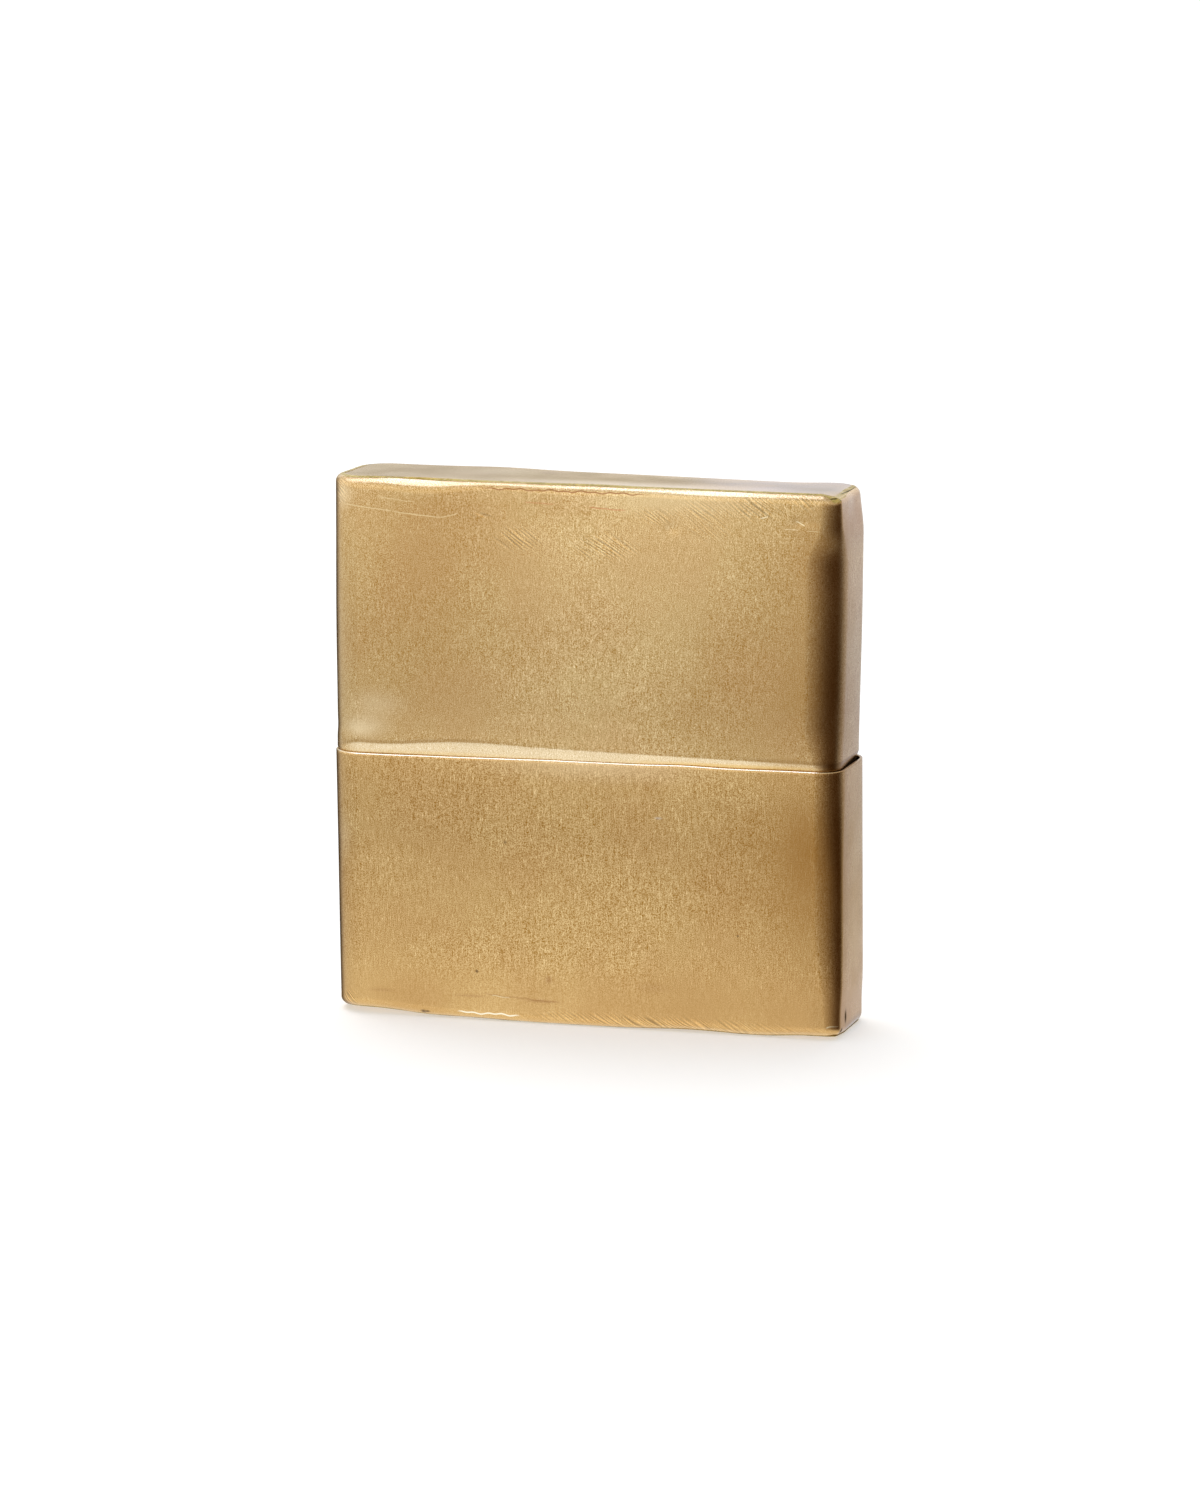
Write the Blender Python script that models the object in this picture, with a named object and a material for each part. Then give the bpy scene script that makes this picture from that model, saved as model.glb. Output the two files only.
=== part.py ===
"""Two-part slip case in sheet brass: the mouth of the upper half pushes into the lower half.

Metres, +Z up. The case stands on the outer face of its lower end plate, at z = 0 and
centred on the origin. X runs along the broad faces and Y from front to back.
Each half is a band of sheet bent to a rounded oblong and joined by a soldered seam,
with its end edge rolled in round a flat end plate that is soldered in place.
"""
import math
from collections import namedtuple

import bmesh
import bpy

# Lower half, outside
case_width = 0.0850
case_depth = 0.0202
corner_radius = 0.0058
lower_height = 0.0428

# Upper half, outside: its height above the lower rim, and how far it is
# drawn in on every side at its end and, a little more, at its shoulder
upper_height = 0.0438
top_inset = 0.0002
shoulder_inset = 0.00045

# Neck of the upper half, which slides inside the lower half
neck_length = 0.0140
neck_clearance = 0.00022
bend_height = 0.0010
seat_gap = 0.00012

# The upper half sits askew in the play of its neck: it leans over to +X
# and stands a little towards -X at the rim
lean_angle = math.radians(1.05)
lean_offset = 0.00016

# Sheet, the rolled end edges, and the groove between a rolled lip and its end plate
sheet = 0.0005
edge_radius = 0.0018
roll_angle = math.radians(63)
end_groove = 0.00018

# Solder: the open width of the lengthwise seam, the film of clearance between a
# bead and the brass beside it, and how far the end bead lies under the plate's face
seam_width = 0.0006
solder_clearance = 0.00005
end_solder_sink = 0.00004

# Smoothness of the round stretches
corner_steps = 8
roll_steps = 4
bend_steps = 4
smooth_angle = math.radians(35)

Level = namedtuple("Level", "width depth radius z")


def clear_scene():
    """Remove every object of the file, so that only the case is left."""
    for item in list(bpy.data.objects):
        bpy.data.objects.remove(item, do_unlink=True)


def make_material(name, colour, roughness):
    """A plain metal with one colour and one roughness."""
    material = bpy.data.materials.new(name)
    material.use_nodes = True
    shader = material.node_tree.nodes["Principled BSDF"]
    shader.inputs["Base Color"].default_value = (*colour, 1.0)
    shader.inputs["Metallic"].default_value = 1.0
    shader.inputs["Roughness"].default_value = roughness
    material.diffuse_color = (*colour, 1.0)
    return material


def make_half(name, location, rotation):
    """An empty that carries every piece of one half of the case."""
    half = bpy.data.objects.new(name, None)
    bpy.context.scene.collection.objects.link(half)
    half.location = location
    half.rotation_euler = rotation
    return half


def drawn_in(level, inset, z):
    """The same oblong made smaller by one inset on every side, at another height."""
    return Level(level.width - 2 * inset, level.depth - 2 * inset, level.radius - inset, z)


def corner_points(level):
    """The four round corners of a level, counterclockwise from the corner at -X, -Y."""
    points = []
    centre_x = level.width / 2 - level.radius
    centre_y = level.depth / 2 - level.radius
    for quarter, (side_x, side_y) in enumerate(((-1, -1), (1, -1), (1, 1), (-1, 1))):
        for step in range(corner_steps + 1):
            angle = math.pi + (quarter + step / corner_steps) * math.pi / 2
            x = side_x * centre_x + level.radius * math.cos(angle)
            y = side_y * centre_y + level.radius * math.sin(angle)
            points.append((x, y, level.z))
    return points


def band_points(level):
    """One open turn of the band, from the near edge of its seam round to the far edge."""
    start = (-level.width / 2, -seam_width / 2, level.z)
    end = (-level.width / 2, seam_width / 2, level.z)
    return [start, *corner_points(level), end]


def seam_points(level):
    """The width of the solder that fills the seam, at one level."""
    half_bead = seam_width / 2 - solder_clearance
    return [(-level.width / 2, half_bead, level.z), (-level.width / 2, -half_bead, level.z)]


def rolled_edge(level, end_z, outward):
    """Levels of an edge that rolls in towards an end, from the straight wall to its lip.

    outward is 1 where the end faces +Z and -1 where it faces -Z.
    """
    levels = []
    for step in range(roll_steps + 1):
        angle = roll_angle * step / roll_steps
        inset = edge_radius * (1 - math.cos(angle))
        drop = edge_radius * (1 - math.sin(angle))
        levels.append(drawn_in(level, inset, end_z - outward * drop))
    return levels


def link_object(name, mesh, half, material):
    """Put a finished mesh in the scene as one piece of a half, shaded smooth."""
    mesh.shade_smooth()
    mesh.set_sharp_from_angle(angle=smooth_angle)
    mesh.materials.append(material)
    piece = bpy.data.objects.new(name, mesh)
    bpy.context.scene.collection.objects.link(piece)
    piece.parent = half
    return piece


def add_sheet_thickness(piece):
    """Give a skin the thickness of the sheet, measured inwards from its outer face."""
    solidify = piece.modifiers.new("sheet thickness", "SOLIDIFY")
    solidify.thickness = sheet
    solidify.offset = -1.0
    solidify.use_even_offset = True
    solidify.use_rim = True


def make_strip(name, rows, half, material):
    """A piece of bent sheet whose outer skin runs through rows of points, lowest row first."""
    shell = bmesh.new()
    rings = [[shell.verts.new(point) for point in row] for row in rows]
    for below, above in zip(rings, rings[1:]):
        for near in range(len(below) - 1):
            far = near + 1
            shell.faces.new((below[near], below[far], above[far], above[near]))
    mesh = bpy.data.meshes.new(name)
    shell.to_mesh(mesh)
    shell.free()
    piece = link_object(name, mesh, half, material)
    add_sheet_thickness(piece)
    return piece


def lip_section():
    """Inset and drop of the outer edge of a rolled lip, then of its inner edge.

    The drop is measured from the face of the end plate into the case.
    """
    last_face_angle = roll_angle * (1 - 0.5 / roll_steps)
    outer_inset = edge_radius * (1 - math.cos(roll_angle))
    outer_drop = edge_radius * (1 - math.sin(roll_angle))
    inner_inset = outer_inset + sheet * math.cos(last_face_angle)
    inner_drop = outer_drop + sheet * math.sin(last_face_angle)
    return outer_inset, outer_drop, inner_inset, inner_drop


def plate_inset():
    """How far the edge of an end plate lies inside the outline of its end."""
    return lip_section()[2] + end_groove


def make_end_plate(name, level, outward, half, material):
    """The flat plate that closes an end, inside the rolled lip."""
    plate = bmesh.new()
    outline = corner_points(drawn_in(level, plate_inset(), level.z))
    corners = [plate.verts.new(point) for point in outline]
    if outward < 0:
        corners.reverse()
    plate.faces.new(corners)
    mesh = bpy.data.meshes.new(name)
    plate.to_mesh(mesh)
    plate.free()
    piece = link_object(name, mesh, half, material)
    add_sheet_thickness(piece)
    return piece


def make_end_solder(name, level, outward, half, material):
    """The ring of solder in the groove between the rolled lip and the end plate.

    Its section has four corners: beside the two edges of the lip and beside the
    two edges of the plate, each clear of the brass by the solder clearance.
    """
    outer_inset, outer_drop, inner_inset, inner_drop = lip_section()
    section = (
        (outer_inset + solder_clearance, outer_drop),
        (inner_inset + solder_clearance, inner_drop),
        (plate_inset() - solder_clearance, sheet),
        (plate_inset() - solder_clearance, end_solder_sink),
    )
    ring = bmesh.new()
    rings = []
    for inset, drop in section:
        row = corner_points(drawn_in(level, inset, level.z - outward * drop))
        rings.append([ring.verts.new(point) for point in row])
    for row, next_row in zip(rings, rings[1:] + rings[:1]):
        for near in range(len(row)):
            far = (near + 1) % len(row)
            ring.faces.new((row[near], row[far], next_row[far], next_row[near]))
    bmesh.ops.recalc_face_normals(ring, faces=ring.faces)
    mesh = bpy.data.meshes.new(name)
    ring.to_mesh(mesh)
    ring.free()
    return link_object(name, mesh, half, material)


def make_lower_half(brass, solder):
    """The open-topped lower half, upright on its end plate."""
    half = make_half("lower_half", (0, 0, 0), (0, 0, 0))
    outside = Level(case_width, case_depth, corner_radius, 0)
    levels = rolled_edge(outside, outside.z, -1)
    levels.reverse()
    levels.append(outside._replace(z=lower_height))
    make_strip("lower_wall", [band_points(level) for level in levels], half, brass)
    make_strip("lower_seam_solder", [seam_points(level) for level in levels], half, solder)
    make_end_plate("lower_end_plate", outside, -1, half, brass)
    make_end_solder("lower_end_solder", outside, -1, half, solder)


def neck_bend(neck, shoulder):
    """Levels between the neck and the shoulder, on an S-shaped curve that starts upright."""
    levels = []
    for step in range(1, bend_steps):
        share = step / bend_steps
        eased_share = share * share * (3 - 2 * share)
        mixed = [low + (high - low) * eased_share for low, high in zip(neck[:3], shoulder[:3])]
        levels.append(Level(*mixed, neck.z + (shoulder.z - neck.z) * share))
    return levels


def make_upper_half(brass, solder):
    """The upper half, mouth down, in its own frame with z = 0 at the lower half's rim.

    The neck is narrow enough at its sides to lean without touching the lower half,
    and the bend above it stops just over the rim at the side it leans to.
    """
    half = make_half("upper_half", (-lean_offset, 0, lower_height), (0, lean_angle, 0))
    body = Level(case_width, case_depth, corner_radius, 0)
    mouth = drawn_in(body, sheet + neck_clearance, 0)
    side_play = lean_offset + neck_length * math.sin(lean_angle)
    bend_start = case_width / 2 * math.sin(lean_angle) + seat_gap
    neck = mouth._replace(width=mouth.width - 2 * side_play, z=bend_start)
    shoulder = drawn_in(body, shoulder_inset, bend_start + bend_height)
    top = drawn_in(body, top_inset, upper_height)
    levels = [neck._replace(z=-neck_length), neck]
    levels += neck_bend(neck, shoulder)
    levels.append(shoulder)
    levels += rolled_edge(top, top.z, 1)
    make_strip("upper_wall", [band_points(level) for level in levels], half, brass)
    make_strip("upper_seam_solder", [seam_points(level) for level in levels], half, solder)
    make_end_plate("upper_end_plate", top, 1, half, brass)
    make_end_solder("upper_end_solder", top, 1, half, solder)


clear_scene()
sheet_brass = make_material("sheet_brass", (0.62, 0.45, 0.22), 0.32)
solder_metal = make_material("brazing_solder", (0.34, 0.29, 0.10), 0.45)
make_lower_half(sheet_brass, solder_metal)
make_upper_half(sheet_brass, solder_metal)
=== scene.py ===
"""Looks of the two-part brass slip case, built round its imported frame.

Metres, +Z up, front face towards -Y. The sections follow the case from the ground up:
the lower half's wall, seam, end plate and end solder, then the same four pieces of the
upper half, and last the camera and the studio.
"""
import math

import bmesh
import bpy
import numpy as np
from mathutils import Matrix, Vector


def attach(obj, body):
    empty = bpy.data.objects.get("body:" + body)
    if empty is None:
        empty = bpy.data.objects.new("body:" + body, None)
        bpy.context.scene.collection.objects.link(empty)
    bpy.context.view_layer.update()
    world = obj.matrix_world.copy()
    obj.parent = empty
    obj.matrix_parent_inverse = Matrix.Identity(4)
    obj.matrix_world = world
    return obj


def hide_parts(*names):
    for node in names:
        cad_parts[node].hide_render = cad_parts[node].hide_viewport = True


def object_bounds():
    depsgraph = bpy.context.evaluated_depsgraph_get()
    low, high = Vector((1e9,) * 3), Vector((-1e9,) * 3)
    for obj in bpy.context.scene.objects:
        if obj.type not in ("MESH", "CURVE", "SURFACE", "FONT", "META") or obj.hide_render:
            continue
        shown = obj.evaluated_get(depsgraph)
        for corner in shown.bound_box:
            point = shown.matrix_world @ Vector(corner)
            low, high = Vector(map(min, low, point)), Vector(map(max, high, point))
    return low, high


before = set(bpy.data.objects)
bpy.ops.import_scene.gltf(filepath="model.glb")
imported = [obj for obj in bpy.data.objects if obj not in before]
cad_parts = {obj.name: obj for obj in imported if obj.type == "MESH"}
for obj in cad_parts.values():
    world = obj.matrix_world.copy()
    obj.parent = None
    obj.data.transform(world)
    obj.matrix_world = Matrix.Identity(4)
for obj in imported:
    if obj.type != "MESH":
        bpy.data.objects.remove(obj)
cad_low, cad_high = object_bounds()
mm = 0.001


# Lower wall: one band of half-millimetre sheet brass bent to a rounded oblong. Its bottom edge
# is hammered in to a roll and filed, its top edge is cut square for a rim, and the whole
# outside is brushed upright by hand, which leaves it a little uneven.
case_width = 85.0 * mm
case_depth = 20.2 * mm
corner_radius = 5.8 * mm
sheet = 0.5 * mm
seam_slot = 0.6 * mm
lower_height = 42.8 * mm
roll_radius = 1.8 * mm
lip_angle = math.radians(63)
filed_from = math.radians(28)
cut_edge = 0.07 * mm
rim_chamfer = 0.18 * mm
bottom_corner = (2.6 * mm, 1.9 * mm)
crown = 0.014
smooth_angle = math.radians(38)


def band_outline(width, depth, radius, slot):
    """Points and outward normals round the band, from the near edge of its seam to the far one.

    It runs by the front. A straight stretch is a line of even steps, and a corner is
    centre + radius * (cos turn, sin turn). The normal is (cos turn, sin turn) all along.
    The third array is true on the columns of the front right corner.
    """
    half_x = width / 2
    half_y = depth / 2
    reach_x = half_x - radius
    reach_y = half_y - radius
    quarter = math.pi / 2
    stretches = (
        ((-half_x, -slot / 2), (-half_x, -reach_y), 6),
        ((-reach_x, -reach_y), 2 * quarter, 30),
        ((-reach_x, -half_y), (reach_x, -half_y), 190),
        ((reach_x, -reach_y), 3 * quarter, 36),
        ((half_x, -reach_y), (half_x, reach_y), 14),
        ((reach_x, reach_y), 4 * quarter, 26),
        ((reach_x, half_y), (-reach_x, half_y), 110),
        ((-reach_x, reach_y), 5 * quarter, 26),
        ((-half_x, reach_y), (-half_x, slot / 2), 6),
    )
    points = []
    turns = []
    turn = 2 * quarter
    for start, end, steps in stretches:
        share = np.arange(steps) / steps
        if isinstance(end, tuple):
            points.append(np.outer(1 - share, start) + np.outer(share, end))
            turns.append(np.full(steps, turn))
        else:
            angle = end + share * quarter
            points.append(np.array(start) + radius * np.column_stack([np.cos(angle), np.sin(angle)]))
            turns.append(angle)
            turn = end + quarter
    points.append([(-half_x, slot / 2)])
    turns.append([turn])
    turn_of = np.concatenate(turns)
    number = np.arange(len(turn_of))
    first = sum(steps for _, _, steps in stretches[:3])
    in_corner = (number >= first) & (number < first + stretches[3][2])
    return np.concatenate(points), np.column_stack([np.cos(turn_of), np.sin(turn_of)]), in_corner


def hill(position, centre, reach):
    """A smooth bump of height 1: e to the power of minus ((position - centre) / reach) squared.

    The centre and the reach are in millimetres, as are the limits of ease and all wavelengths.
    """
    return np.exp(-(((position / mm - centre) / reach) ** 2))


def hills(position, *bumps):
    """The sum of several hills, each given as its height, centre and reach."""
    return sum(height * hill(position, centre, reach) for height, centre, reach in bumps)


def ease(value, start, end):
    """0 before start, 1 after end, and the smooth step 3t^2 - 2t^3 between them."""
    share = np.clip((value / mm - start) / (end - start), 0, 1)
    return share * share * (3 - 2 * share)


def slow_waves(x, y, z, seed, wavelength):
    """Seeded unevenness from about -1 to 1: seven sine waves with random directions and phases."""
    random = np.random.default_rng(seed)
    total = 0
    for _ in range(7):
        direction = random.normal(size=3)
        length = wavelength * mm * random.uniform(0.7, 1.6)
        direction *= 2 * math.pi / (length * np.linalg.norm(direction))
        phase = random.uniform(0, 2 * math.pi)
        total = total + np.sin(x * direction[0] + y * direction[1] + z * direction[2] + phase)
    return total / 4


def rolled_skin(radius, filed, offset, steps):
    """Inset and drop of one skin of a rolled edge, from the straight wall to its lip.

    The outer skin is the arc inset = radius * (1 - cos a), drop = radius * (1 - sin a), for a
    from 0 to the lip angle. The part of it above 28 degrees is taken down by the share
    `filed` to its own chord. The inner skin lies deeper by offset * (cos a, sin a).
    """
    angle = np.linspace(0, lip_angle, steps)[:, None]
    share = np.clip((angle - filed_from) / (lip_angle - filed_from), 0, 1)
    skin = []
    for part in (np.cos, np.sin):
        arc = radius * (1 - part(angle))
        chord = radius * ((1 - part(filed_from)) * (1 - share) + (1 - part(lip_angle)) * share)
        skin.append(arc + (chord - arc) * filed * (angle > filed_from) + offset * part(angle))
    return skin[0], skin[1], share * filed


def grid_object(name, material, x, y, z, wrap_rows=True, wrap_columns=False, masks=None):
    """A piece through a grid of points, with rows and columns as its two parameters.

    Where only the rows close on themselves, the first and the last column get one face each.
    """
    rows, columns = x.shape
    number = np.arange(rows * columns).reshape(rows, columns)
    if wrap_rows:
        number = np.vstack([number, number[:1]])
    if wrap_columns:
        number = np.hstack([number, number[:, :1]])
    quads = np.stack([number[:-1, :-1], number[:-1, 1:], number[1:, 1:], number[1:, :-1]], -1)
    faces = quads.reshape(-1, 4).tolist()
    if wrap_rows and not wrap_columns:
        faces.append(number[:-1, 0].tolist())
        faces.append(number[-2::-1, -1].tolist())
    mesh = bpy.data.meshes.new(name)
    mesh.from_pydata(np.stack([x, y, z], -1).reshape(-1, 3), [], faces)
    for mask_name, values in (masks or {}).items():
        attribute = mesh.attributes.new(mask_name, "FLOAT", "POINT")
        attribute.data.foreach_set("value", np.broadcast_to(values, x.shape).astype(np.float32).ravel())
    if wrap_rows:
        shell = bmesh.new()
        shell.from_mesh(mesh)
        bmesh.ops.recalc_face_normals(shell, faces=shell.faces)
        shell.to_mesh(mesh)
        shell.free()
    mesh.shade_smooth()
    mesh.set_sharp_from_angle(angle=smooth_angle)
    mesh.materials.append(material)
    piece = bpy.data.objects.new(name, mesh)
    bpy.context.scene.collection.objects.link(piece)
    return piece


outline, outward, front_right = band_outline(case_width, case_depth, corner_radius, seam_slot)
base_x, base_y = outline.T
normal_x, normal_y = outward.T
on_front = np.clip(-normal_y, 0, 1)
on_back = np.clip(normal_y, 0, 1)
on_right = np.clip(normal_x, 0, 1)
on_left = np.clip(-normal_x, 0, 1)
every_column = np.ones(len(base_x))
corner_share = (2 * normal_x * normal_y) ** 2
side_crown = 0.06 * mm * np.clip(base_y / (5 * mm), -1, 1) ** 2


def bent_round(inset, height, squeeze, corner):
    """Points at an inset and a height on every column of the band, with its crown.

    A point is base - normal * inset. The front right corner has the two radii of `corner`: with
    d for how much less than the corner radius each is, x gains d * (1 - normal x) and y loses
    d * (1 + normal y). The broad faces are fuller in the middle: y is scaled by
    1 - crown * (x / half width)^4. squeeze narrows the neck's narrow sides.
    """
    across, along = corner
    x = base_x - normal_x * inset + (corner_radius - across) * front_right * (1 - normal_x)
    y = base_y - normal_y * inset - (corner_radius - along) * front_right * (1 + normal_y)
    x = x - squeeze * np.clip(x / (case_width / 2 - corner_radius), -1, 1)
    y = y * (1 - crown * (x / (case_width / 2)) ** 4)
    return x, y, np.broadcast_to(height, x.shape)


def pushed_in(x, y, depth):
    """The same points moved in along the band's normals, with nothing let out past the sheet."""
    depth = np.maximum(depth, 0)
    return x - normal_x * depth, y - normal_y * depth


def front_dents(x, z, *dents):
    """Depth of the dents in the front face: each is its depth times a hill in x and one in z."""
    return on_front * mm * sum(depth * hill(x, *across) * hill(z, *up) for depth, across, up in dents)


def on_rows(section, first, end, values):
    """A mask with the values on some rows of a section, and 0 on its other rows."""
    mask = np.zeros(section.shape)
    mask[first:end] = values
    return mask


def slot_edges(x, y, z, inside):
    """The outer skin's points on both edges of the seam slot, the band's first and last columns."""
    return np.stack([x, y, z], -1)[inside[:, 0] == 0][:, [0, -1]]


def lower_roll():
    """Radius of the rolled bottom edge and how flat it is filed, on every column."""
    radius = roll_radius * (1 - 0.26 * on_front * hill(base_x, -4, 15))
    radius = radius * (1 - 0.14 * on_right - 0.26 * on_left)
    radius = radius * (1 + 0.05 * slow_waves(base_x, base_y, 0, 11, 14))
    return radius, 0.30 + 0.45 * on_front * ease(base_x, -12, 20)


def lower_corner(height):
    """Radii in x and y of the front right corner, tight at the end plate and wider upwards."""
    risen = ease(height, 2, 18)
    across = bottom_corner[0] + 1.6 * mm * risen
    return across, bottom_corner[1] + mm * (0.9 * risen + 1.5 * ease(height, 24, 42))


def worn_bottom(x, y, z):
    """Heights with the front bottom edge hammered up: 0.85 mm near its left end, 0.5 mm at its right."""
    lift = 0.68 * ease(x, -24, -41) + hills(x, (0.24, -35, 6), (0.16, -21, 7), (0.14, -31, 6), (0.28, 18, 7))
    lift = lift * ease(y, -2, -9) + 0.48 * ease(x, 28, 38) * ease(y, -5, -9.4)
    return z + lift * mm * ease(z, 7, 0)


def lower_wall_surface():
    """The band's closed section on every column: outer roll, wall, rim, inner wall, inner roll."""
    radius, filed = lower_roll()
    rim = lower_height + mm * on_front * hills(base_x, (0.20, -4, 15), (0.18, 33, 7), (0.25, 17, 8))
    rim = rim + 0.025 * mm * slow_waves(base_x, base_y, 0, 12, 9) - 0.03 * mm
    outer_inset, outer_drop, outer_filed = rolled_skin(radius, filed, 0, 16)
    inner_inset, inner_drop, _ = rolled_skin(radius, 0 * filed, sheet, 9)
    chamfer = rim_chamfer * (1 - 0.75 * on_right)
    rise = np.interp(np.arange(1, 59), (0, 10, 47, 58), (0, 0.12, 0.9, 1))[:, None]
    wall_z = radius + (rim - chamfer - radius) * rise
    turned_in = 0.17 * mm * on_front * hill(base_x, 4, 20)
    wall_inset = turned_in * np.clip((wall_z - rim) / (3.8 * mm) + 1, 0, 1) ** 2
    share = np.linspace(0, 1, 6)[:, None]
    bend = np.linspace(0, math.pi / 2, 4)[:, None]
    edge_inset = sheet - cut_edge * (1 - np.sin(bend)) * every_column
    inner_z = radius + (rim - cut_edge - radius) * np.linspace(1, 0, 22)[1:-1, None]
    parts = (
        (outer_inset[::-1], outer_drop[::-1]),
        (wall_inset[:-1], wall_z[:-1]),
        (turned_in + chamfer * share**1.15, rim - chamfer * (1 - share) ** 1.15),
        (edge_inset, rim - cut_edge * (1 - np.cos(bend))),
        (sheet + 0 * inner_z, inner_z),
        (inner_inset, inner_drop),
    )
    inset, height = (np.vstack(rows) for rows in zip(*parts))
    rim_start = len(outer_inset) + len(wall_z) - 1
    inner_start = rim_start + len(share)
    inside = on_rows(inset, inner_start, None, 1)
    inset = inset + on_right * (0.22 * mm * ease(height, 9, 3) + side_crown) * (1 - inside)
    x, y, z = bent_round(inset, height, 0, lower_corner(height))
    waves = 0.045 * mm * (1 + slow_waves(x, y, z, 13, 34)) * (1 - 0.8 * on_right - 0.5 * on_left)
    dents = front_dents(x, z, (0.05, (-20, 9), (20, 10)), (0.04, (20, 8), (11, 6)))
    dents = dents + 0.03 * mm * hill(y, 0, 2) * on_left
    x, y = pushed_in(x, y, (waves + dents) * (1 - 0.6 * ease(z, 27, 33)))
    masks = {
        "filed": on_rows(inset, 0, len(outer_filed), outer_filed[::-1]),
        "inside": inside,
        "corner": corner_share,
        # Painted highlight on the rim's chamfer.
        "bend": on_rows(inset, rim_start + 1, inner_start, 1 - 0.8 * on_right),
        # Painted shade on the right end of the rim, in the gap under the upper half.
        "crease": on_rows(inset, rim_start, inner_start, 1.6 * on_right**3),
    }
    return x, y, worn_bottom(x, y, z), masks


def add_node(tree, kind, sockets=None, **settings):
    """One shader node of a tree. sockets gives its inputs, each a value or another node's output."""
    node = tree.nodes.new("ShaderNode" + kind)
    for key, value in settings.items():
        setattr(node, key, value)
    for key, value in (sockets or {}).items():
        if isinstance(value, bpy.types.NodeSocket):
            tree.links.new(value, node.inputs[key])
        else:
            node.inputs[key].default_value = value
    return node


def calculate(tree, operation, first, second=0.0, third=0.0):
    """The output of one Math node."""
    return add_node(tree, "Math", {0: first, 1: second, 2: third}, operation=operation).outputs[0]


def times(tree, first, second):
    """Two numbers multiplied."""
    return calculate(tree, "MULTIPLY", first, second)


def vectors(tree, operation, first, second=(0, 0, 0), third=(0, 0, 0)):
    """The output of one Vector Math node."""
    node = add_node(tree, "VectorMath", {0: first, 1: second, 2: third}, operation=operation)
    return node.outputs["Value" if operation == "LENGTH" else "Vector"]


def noise(tree, vector, scale, detail):
    """The output of one Noise Texture node."""
    return add_node(tree, "TexNoise", {"Vector": vector, "Scale": scale, "Detail": detail}).outputs["Fac"]


def fade(tree, value, start, end, low=0.0, high=1.0):
    """A value mapped with a smooth step from start and end to low and high."""
    sockets = {"Value": value, "From Min": start, "From Max": end, "To Min": low, "To Max": high}
    return add_node(tree, "MapRange", sockets, interpolation_type="SMOOTHSTEP").outputs[0]


def mix_colour(tree, share, first, second, mode="MIX"):
    """One colour over another, by a share that is a number or an output."""
    node = add_node(tree, "Mix", {0: share, 6: first, 7: second}, data_type="RGBA", blend_type=mode)
    return node.outputs[2]


def colour_steps(tree, value, steps):
    """A ramp of grey levels or colours, given as pairs of position and level."""
    node = add_node(tree, "ValToRGB", {"Fac": value})
    elements = node.color_ramp.elements
    while len(elements) < len(steps):
        elements.new(0.5)
    for element, (position, level) in zip(elements, steps):
        element.position = position
        element.color = (*np.broadcast_to(level, 3), 1)
    return node.outputs["Color"]


def effect_group(name, inputs, outputs):
    """An empty shader node group and its input and output nodes. Sockets are name: kind."""
    tree = bpy.data.node_groups.new(name, "ShaderNodeTree")
    for in_out, sockets in (("INPUT", inputs), ("OUTPUT", outputs)):
        for socket_name, kind in sockets.items():
            tree.interface.new_socket(name=socket_name, in_out=in_out, socket_type="NodeSocket" + kind)
    return tree, tree.nodes.new("NodeGroupInput").outputs, tree.nodes.new("NodeGroupOutput").inputs


def use_group(tree, group, sockets):
    """The outputs of one group node with its own values."""
    return add_node(tree, "Group", sockets, node_tree=group).outputs


def make_brushing():
    """Hand brushing: fine marks drawn out along the strokes, a few bright ones, and even dots.

    Grain is the size of one mark in each direction. Shade is about 1 in each channel, and swings
    more in green and blue, as bare scratches are whiter than the worn metal. Height is for a bump.
    """
    group, given, result = effect_group(
        "brushing", {"Vector": "Vector", "Grain": "Vector", "Depth": "Float"},
        {"Shade": "Color", "Height": "Float"},
    )
    marks = vectors(group, "DIVIDE", given["Vector"], given["Grain"])
    fine = fade(group, noise(group, marks, 1.0, 1.0), 0.30, 0.70, -1.0, 1.0)
    shorter = vectors(group, "MULTIPLY", marks, (1.0, 1.0, 2.2))
    bright = fade(group, noise(group, shorter, 1.0, 1.0), 0.60, 0.74)
    dots = fade(group, noise(group, given["Vector"], 8000.0, 1.0), 0.28, 0.72, -1.0, 1.0)
    wear = calculate(group, "MULTIPLY_ADD", fine, 0.36, times(group, dots, 1.40))
    wear = calculate(group, "MULTIPLY_ADD", bright, 1.60, wear)
    swing = vectors(group, "MULTIPLY", (1.0, 1.4, 2.2), given["Depth"])
    group.links.new(vectors(group, "MULTIPLY_ADD", swing, wear, (1.0, 1.0, 1.0)), result["Shade"])
    group.links.new(wear, result["Height"])
    return group


def make_spot():
    """A soft oval patch: 1 at its centre, falling to 0 where the point is one reach away."""
    group, given, result = effect_group(
        "spot", {"Vector": "Vector", "Centre": "Vector", "Reach": "Vector"}, {"Mask": "Float"}
    )
    away = vectors(group, "SUBTRACT", given["Vector"], given["Centre"])
    distance = vectors(group, "LENGTH", vectors(group, "DIVIDE", away, given["Reach"]))
    group.links.new(fade(group, distance, 1.0, 0.0), result["Mask"])
    return group


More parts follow.
